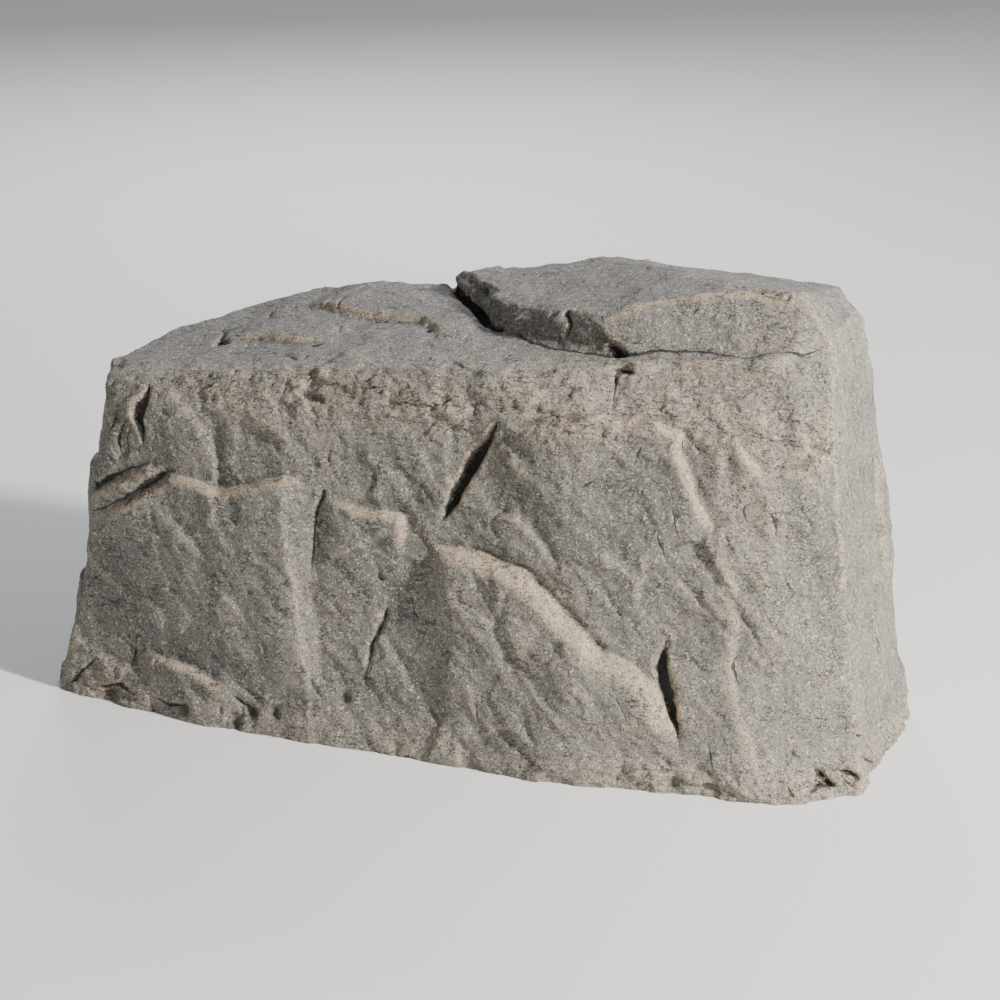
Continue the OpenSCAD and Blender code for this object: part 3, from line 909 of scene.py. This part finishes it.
def add_charts(mesh, smooth_normals, inside):
    """The shell's map, named OFBake: one flat chart for each side, and smaller ones for the inside."""
    corners = read(mesh.loops, "vertex_index", np.int32)
    counts = read(mesh.polygons, "loop_total", np.int32)
    owner = np.repeat(np.arange(len(counts)), counts)
    normal, inner = np.zeros((len(counts), 3)), np.zeros(len(counts))
    np.add.at(normal, owner, smooth_normals[corners])
    np.add.at(inner, owner, inside[corners])
    inner = inner / counts > 0.5
    up = normal[:, 2] > 0.62 * np.linalg.norm(normal, axis=1)
    across_x = np.abs(normal[:, 0]) > np.abs(normal[:, 1])
    left_or_right = np.where(normal[:, 0] > 0, 3, 2)
    front_or_rear = np.where(normal[:, 1] > 0, 1, 0)
    side = np.where(up, 4, np.where(across_x, left_or_right, front_or_rear))
    margin, inner_scale = 0.02, 0.26
    width, depth, tall = HIGH - LOW + 2 * margin
    whole = max(width + depth, 2 * tall + depth)
    layout = [
        # horizontal axis and its sign, vertical axis, and the chart's corner in metres
        (0, 1, 2, (0.0, 0.0)),
        (0, -1, 2, (0.0, tall)),
        (1, -1, 2, (width, 0.0)),
        (1, 1, 2, (width, tall)),
        (0, 1, 1, (0.0, 2 * tall)),
    ]
    places = vertex_places(mesh)
    chart = np.empty((len(corners), 2))
    for number, (axis, sign, upright, corner) in enumerate(layout):
        for is_inner in (False, True):
            here = np.flatnonzero((side[owner] == number) & (inner[owner] == is_inner))
            p = places[corners[here]]
            u = p[:, axis] - LOW[axis] if sign > 0 else HIGH[axis] - p[:, axis]
            flat = np.stack([u, p[:, upright] - LOW[upright]], 1) + margin + corner
            if is_inner:
                flat = inner_scale * flat + (width, 2 * tall)
            chart[here] = flat / whole
    layer = mesh.uv_layers.new(name="OFBake")
    layer.data.foreach_set("uv", chart.ravel().astype(np.float32))
    mesh.uv_layers.active = layer


def add_looks(shell, smooth, rough):
    """What the material reads at each vertex of the shell, and the shell's map."""
    places = vertex_places(shell)
    hits, normals = nearest_on(surface_tree(smooth), places)
    tree = point_tree(vertex_places(rough))
    found = [tree.find(place) for place in places.tolist()]
    twin = np.array([number for _, number, _ in found])
    inside = ramp(np.array([gap for _, _, gap in found]), 0.0035, 0.006)
    outside = 1 - inside
    # on the inside every number is 0 but the distance to a crack, whose half width is 0 there
    for name, values in relief(hits, normals)[1].items():
        add_number(shell, name, values if name == "crack" else values * outside)
    add_number(shell, "edge", bulge(rough, 3)[twin] * MM * outside)
    add_number(shell, "broad", bulge(rough, 24)[twin] * MM * outside)
    add_number(shell, "inside", inside)
    add_charts(shell, normals, inside)


def make_rock():
    """The cast shell: rough outside, laminate inside, with its notch, standing on a flat rim."""
    smooth = smooth_rock()
    rough = rough_rock(smooth)
    shell = cut(rough, hollow_inside(smooth, rough))
    # the notch, from well inside the wall to well outside it, and all that is under the ground
    shell = cut(shell, notch_prism(-0.09, 0.05))
    shell = cut(shell, block((-2, -2, -1), (2, 2, 0)))
    shell.name = "cast_rock"
    add_looks(shell, smooth, rough)
    shell.polygons.foreach_set("use_smooth", np.ones(len(shell.polygons), bool))
    shell.set_sharp_from_angle(angle=math.radians(62))
    shell.materials.clear()
    shell.materials.append(rock_paint())
    rock = new_object("cast_rock", shell)
    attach(rock, "cover")
    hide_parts("rock_shell")


# ---------------------------------------------------------------- materials

class Paint:
    """A node material, with short calls for the nodes that the materials here share."""

    def __init__(self, name, roughness=0.5, metallic=0.0):
        self.material = bpy.data.materials.new(name)
        self.material.use_nodes = True
        self.tree = self.material.node_tree
        self.shader = self.tree.nodes["Principled BSDF"]
        self.shader.inputs["Roughness"].default_value = roughness
        self.shader.inputs["Metallic"].default_value = metallic
        self.place = self.tree.nodes.new("ShaderNodeTexCoord").outputs["Object"]

    def link(self, value, socket):
        """Feeds a socket from another socket, a number or a colour."""
        if isinstance(value, bpy.types.NodeSocket):
            self.tree.links.new(value, socket)
        else:
            socket.default_value = value

    def number(self, name):
        """A number that the mesh carries at its vertices."""
        node = self.tree.nodes.new("ShaderNodeAttribute")
        node.attribute_name = name
        return node.outputs["Fac"]

    def math(self, operation, a, b=0.0, clamp=False):
        node = self.tree.nodes.new("ShaderNodeMath")
        node.operation = operation
        node.use_clamp = clamp
        self.link(a, node.inputs[0])
        self.link(b, node.inputs[1])
        return node.outputs[0]

    def times(self, a, b):
        return self.math("MULTIPLY", a, b)

    def most(self, a, b):
        return self.math("MAXIMUM", a, b)

    def spread(self, value, low, high, to_low=0.0, to_high=1.0):
        """Maps low to high onto to_low to to_high, clamped and smooth."""
        node = self.tree.nodes.new("ShaderNodeMapRange")
        node.interpolation_type = "SMOOTHSTEP"
        self.link(value, node.inputs["Value"])
        for socket, setting in zip(node.inputs[1:5], (low, high, to_low, to_high)):
            socket.default_value = setting
        return node.outputs["Result"]

    def stretched(self, scale, turn=0.0):
        """Places for a noise, scaled along each axis and then turned about y by some degrees."""
        node = self.tree.nodes.new("ShaderNodeMapping")
        self.link(self.place, node.inputs["Vector"])
        node.inputs["Rotation"].default_value = (0.0, math.radians(turn), 0.0)
        node.inputs["Scale"].default_value = scale
        return node.outputs["Vector"]

    def grain(self, size, detail=3.0, rough=0.5, vector=None):
        """Noise with lumps of the given size in metres, 0 to 1."""
        node = self.tree.nodes.new("ShaderNodeTexNoise")
        self.link(vector or self.place, node.inputs["Vector"])
        node.inputs["Scale"].default_value = 1 / size
        node.inputs["Detail"].default_value = detail
        node.inputs["Roughness"].default_value = rough
        return node.outputs["Fac"]

    def grain_tones(self, size):
        """Three random numbers from 0 to 1 for each grain of the given size."""
        cells = self.tree.nodes.new("ShaderNodeTexVoronoi")
        self.link(self.place, cells.inputs["Vector"])
        cells.inputs["Scale"].default_value = 1 / size
        split = self.tree.nodes.new("ShaderNodeSeparateColor")
        self.link(cells.outputs["Color"], split.inputs[0])
        return list(split.outputs)

    def facing_up(self):
        """The upright part of the surface's direction, -1 to 1."""
        geometry = self.tree.nodes.new("ShaderNodeNewGeometry")
        split = self.tree.nodes.new("ShaderNodeSeparateXYZ")
        self.link(geometry.outputs["Normal"], split.inputs[0])
        return split.outputs["Z"]

    def mix(self, factor, a, b):
        """From colour a, where the factor is 0, to colour b, where it is 1."""
        node = self.tree.nodes.new("ShaderNodeMix")
        node.data_type = "RGBA"
        self.link(factor, node.inputs[0])
        self.link(a, node.inputs[6])
        self.link(b, node.inputs[7])
        return node.outputs[2]

    def over(self, colour, top, cover, strength):
        """A colour with another laid over it where cover is 1, at the given strength."""
        return self.mix(self.math("MULTIPLY", cover, strength, clamp=True), colour, top)

    def bump(self, height, depth, strength, under=None):
        """Relief of the given depth in metres, on top of another bump."""
        node = self.tree.nodes.new("ShaderNodeBump")
        node.inputs["Strength"].default_value = strength
        node.inputs["Distance"].default_value = depth
        self.link(height, node.inputs["Height"])
        if under is not None:
            self.link(under, node.inputs["Normal"])
        return node.outputs["Normal"]

    def finish(self, colour, roughness, normal):
        """The material, with its shader fed."""
        for value, name in ((colour, "Base Color"), (roughness, "Roughness"), (normal, "Normal")):
            self.link(value, self.shader.inputs[name])
        return self.material


def rgb(red, green, blue):
    """A colour from screen values, 0 to 255."""
    linear = [
        c / 12.92 if c <= 0.04045 else ((c + 0.055) / 1.055) ** 2.4
        for c in (red / 255, green / 255, blue / 255)
    ]
    return (*linear, 1.0)


def stone_colour(paint):
    """Grey stone in two slow tones with paler patches, and a painted bluish-grey sky light where it faces
    up.
    """
    slow = paint.spread(paint.grain(0.22, 2), 0.35, 0.65)
    patches = paint.spread(paint.grain(0.045, 4, 0.6), 0.35, 0.65)
    stone = paint.mix(slow, rgb(110, 110, 105), rgb(130, 127, 119))
    stone = paint.over(stone, rgb(143, 138, 127), patches, 0.40)
    # painted light: the faces that look up are tinted bluish grey, as the sky would light them
    painted_sky_tone = paint.spread(paint.facing_up(), 0.40, 1.0)
    return paint.over(stone, rgb(117, 117, 119), painted_sky_tone, 0.65)


def tan_cover(paint):
    """Where crests are worn and the sand shows: bulges, the ledges' crests and flecks."""
    worn = paint.most(paint.spread(paint.number("edge"), 0.20, 0.80),
                      paint.spread(paint.number("broad"), 0.9, 2.6))
    worn = paint.times(worn, paint.spread(paint.grain(0.06, 3), 0.36, 0.60))
    ragged = paint.spread(paint.grain(0.012, 5, 0.65), 0.36, 0.60, 0.50, 1.0)
    crest = paint.times(paint.spread(paint.number("tan"), 0.0, 0.9), ragged)
    flecks = paint.times(paint.number("broken"), paint.spread(paint.grain(0.011, 5, 0.7), 0.50, 0.60))
    return paint.most(paint.most(paint.times(worn, 0.8), crest), paint.times(flecks, 0.75))


def scratch_cover(paint):
    """Thin scratches, mostly level, in the broken zones and in some patches."""
    streak = paint.grain(0.009, 3, 0.6, paint.stretched((0.22, 1.0, 1.0), turn=-40))
    scratch = paint.math("ABSOLUTE", paint.math("SUBTRACT", streak, 0.5))
    where = paint.times(paint.number("broken"), paint.spread(paint.grain(0.02, 2), 0.42, 0.56))
    where = paint.most(where, paint.spread(paint.grain(0.03, 2), 0.50, 0.62))
    return paint.times(paint.spread(scratch, 0.022, 0.0), where)


def shade_and_scratch_cover(paint, scratch):
    """Painted shade in hollows, pits and cracks, and the darker scratches."""
    # painted shade where the surface is hollow
    hollow = paint.spread(paint.number("broad"), -0.6, -3.2)
    dark = paint.most(paint.times(hollow, 0.35), paint.number("dark"))
    dark = paint.most(dark, paint.times(scratch, 0.75))
    # painted shadow: a crack is dark from its middle to just inside its ragged edge
    ragged = paint.spread(paint.grain(0.006, 3, 0.6), 0.3, 0.7, 0.65, 1.35)
    half = paint.times(paint.number("crack_half"), ragged)
    inward = paint.math("SUBTRACT", half, paint.math("ABSOLUTE", paint.number("crack")))
    return paint.most(dark, paint.spread(inward, 0.0, 0.8))


def sanded(paint, stone, tones, dark):
    """The stone with sand grains on it: pale ones in clumps and out of the cracks, dark and red ones."""
    pale, deep, red = tones[:3]
    clumps = paint.spread(paint.grain(0.008, 3), 0.35, 0.65, 0.25, 1.0)
    clumps = paint.times(clumps, paint.math("SUBTRACT", 1.0, dark, clamp=True))
    light_grains = paint.times(paint.spread(pale, 0.66, 0.98), clumps)
    stone = paint.over(stone, rgb(214, 204, 186), light_grains, 0.72)
    stone = paint.over(stone, rgb(48, 46, 43), paint.spread(deep, 0.60, 0.98), 0.66)
    return paint.over(stone, rgb(150, 98, 78), paint.spread(red, 0.93, 0.97), 0.45)


def rock_paint():
    """Sanded stone colour outside, and bare brown laminate inside."""
    paint = Paint("sanded_stone", roughness=0.9)
    scratch = scratch_cover(paint)
    dark = shade_and_scratch_cover(paint, scratch)
    tones = paint.grain_tones(0.0019)
    # the broken zones are painted paler: partly their own chipped colour, partly painted light that
    # brightens the upturned foot
    stone = paint.over(stone_colour(paint), rgb(162, 156, 144), paint.number("broken"), 0.55)
    stone = paint.over(stone, rgb(186, 166, 139), tan_cover(paint), 0.88)
    # painted shade of the hollows, pits and cracks, and the darker scratches
    stone = paint.over(stone, rgb(38, 36, 33), dark, 0.88)
    stone = sanded(paint, stone, tones, dark)
    fibres = paint.grain(0.004, 3, 0.7, paint.stretched((1.0, 0.25, 0.6)))
    laminate = paint.mix(paint.spread(fibres, 0.35, 0.65), rgb(112, 96, 66), rgb(160, 142, 104))
    colour = paint.mix(paint.number("inside"), stone, laminate)
    normal = paint.bump(paint.grain(0.012, 5, 0.6), 0.0016, 0.8)
    small_chips = paint.times(paint.number("broken"), paint.grain(0.007, 4, 0.7))
    normal = paint.bump(small_chips, 0.0030, 0.9, normal)
    normal = paint.bump(paint.math("SUBTRACT", 1.0, scratch), 0.0020, 0.9, normal)
    normal = paint.bump(tones[0], 0.0009, 1.0, normal)
    rough = paint.spread(paint.grain(0.004, 2), 0.3, 0.7, 0.82, 0.97)
    return paint.finish(colour, rough, normal)


def trim_paint():
    """Black rubber with a little dust."""
    paint = Paint("rubber", roughness=0.75)
    dust = paint.spread(paint.grain(0.03, 4, 0.6), 0.45, 0.75)
    colour = paint.over(rgb(38, 38, 38), rgb(92, 88, 80), dust, 0.35)
    rough = paint.spread(paint.grain(0.004, 3), 0.3, 0.7, 0.62, 0.85)
    return paint.finish(colour, rough, paint.bump(paint.grain(0.0015, 2), 0.0004, 0.5))


def batten_paint():
    """Grey-brown recycled plastic plank with streaks of its melt and pale flecks."""
    paint = Paint("recycled_plastic", roughness=0.6)
    streaks = paint.grain(0.006, 4, 0.6, paint.stretched((0.12, 0.12, 1.0)))
    flecks = paint.spread(paint.grain(0.003, 1), 0.68, 0.76)
    colour = paint.mix(paint.spread(streaks, 0.3, 0.7), rgb(52, 50, 47), rgb(88, 84, 76))
    colour = paint.over(colour, rgb(150, 146, 134), flecks, 0.6)
    rough = paint.spread(streaks, 0.3, 0.7, 0.50, 0.75)
    return paint.finish(colour, rough, paint.bump(streaks, 0.0008, 0.6))


def rib_paint():
    """Honey-coloured glass-fibre laminate with its strands showing."""
    paint = Paint("glass_fibre", roughness=0.45)
    one_way = paint.grain(0.0016, 2, 0.6, paint.stretched((0.08, 1.0, 0.5)))
    other_way = paint.grain(0.0016, 2, 0.6, paint.stretched((1.0, 0.10, 0.9)))
    strands = paint.most(one_way, other_way)
    tone = paint.spread(paint.grain(0.05, 3), 0.35, 0.65)
    colour = paint.mix(tone, rgb(150, 128, 82), rgb(176, 156, 108))
    colour = paint.over(colour, rgb(208, 198, 164), paint.spread(strands, 0.5, 0.75), 0.6)
    rough = paint.spread(strands, 0.3, 0.8, 0.35, 0.65)
    return paint.finish(colour, rough, paint.bump(strands, 0.0007, 0.7))


def galvanised_paint():
    """Hot-dip zinc with its spangle."""
    paint = Paint("zinc", roughness=0.45, metallic=1.0)
    tone = paint.grain_tones(0.007)[0]
    colour = paint.mix(tone, rgb(148, 152, 156), rgb(190, 194, 198))
    dull = paint.spread(paint.grain(0.02, 3), 0.45, 0.70)
    colour = paint.over(colour, rgb(206, 207, 204), dull, 0.5)
    rough = paint.spread(tone, 0.0, 1.0, 0.34, 0.58)
    return paint.finish(colour, rough, paint.bump(paint.grain(0.003, 2), 0.0003, 0.4))


def stainless_paint():
    """Turned stainless steel."""
    paint = Paint("stainless", roughness=0.3, metallic=1.0)
    turned = paint.grain(0.0008, 2, 0.5, paint.stretched((1.0, 0.1, 1.0)))
    colour = paint.mix(turned, rgb(176, 176, 178), rgb(210, 210, 212))
    rough = paint.spread(turned, 0.3, 0.7, 0.22, 0.40)
    return paint.finish(colour, rough, paint.bump(turned, 0.0001, 0.3))


def nylon_paint():
    """Natural nylon, slightly yellowed."""
    paint = Paint("nylon", roughness=0.4)
    paint.shader.inputs["Subsurface Weight"].default_value = 0.1
    tone = paint.spread(paint.grain(0.012, 3), 0.35, 0.65)
    colour = paint.mix(tone, rgb(226, 222, 206), rgb(210, 203, 180))
    rough = paint.spread(paint.grain(0.002, 2), 0.3, 0.7, 0.34, 0.50)
    return paint.finish(colour, rough, paint.bump(paint.grain(0.001, 2), 0.0001, 0.3))


def stake_paint():
    """Weathered galvanised rod with rust in spots and along its drawn lines."""
    paint = Paint("weathered_rod", roughness=0.5, metallic=0.9)
    drawn = paint.grain(0.002, 3, 0.6, paint.stretched((1.0, 1.0, 0.05)))
    colour = paint.mix(paint.spread(drawn, 0.3, 0.7), rgb(120, 120, 118), rgb(158, 158, 156))
    rust = paint.spread(paint.grain(0.012, 5, 0.7), 0.58, 0.72)
    colour = paint.over(colour, rgb(112, 70, 44), rust, 0.8)
    rough = paint.spread(rust, 0.0, 1.0, 0.42, 0.85)
    return paint.finish(colour, rough, paint.bump(paint.grain(0.002, 3), 0.0003, 0.5))


def paint_carried_nodes():
    """Gives each CAD node that stays in view its own material."""
    paints = {
        "notch_trim": trim_paint(),
        "batten": batten_paint(),
        "rib": rib_paint(),
        "anchor_bracket": galvanised_paint(),
        "bracket_screws": stainless_paint(),
        "stake_bush": nylon_paint(),
        "ground_stake": stake_paint(),
    }
    for name, node in NODES.items():
        for start, paint in paints.items():
            if name.startswith(start):
                for slot in node.material_slots:
                    slot.material = paint


add_camera()
add_light()
add_floor()
make_rock()
paint_carried_nodes()
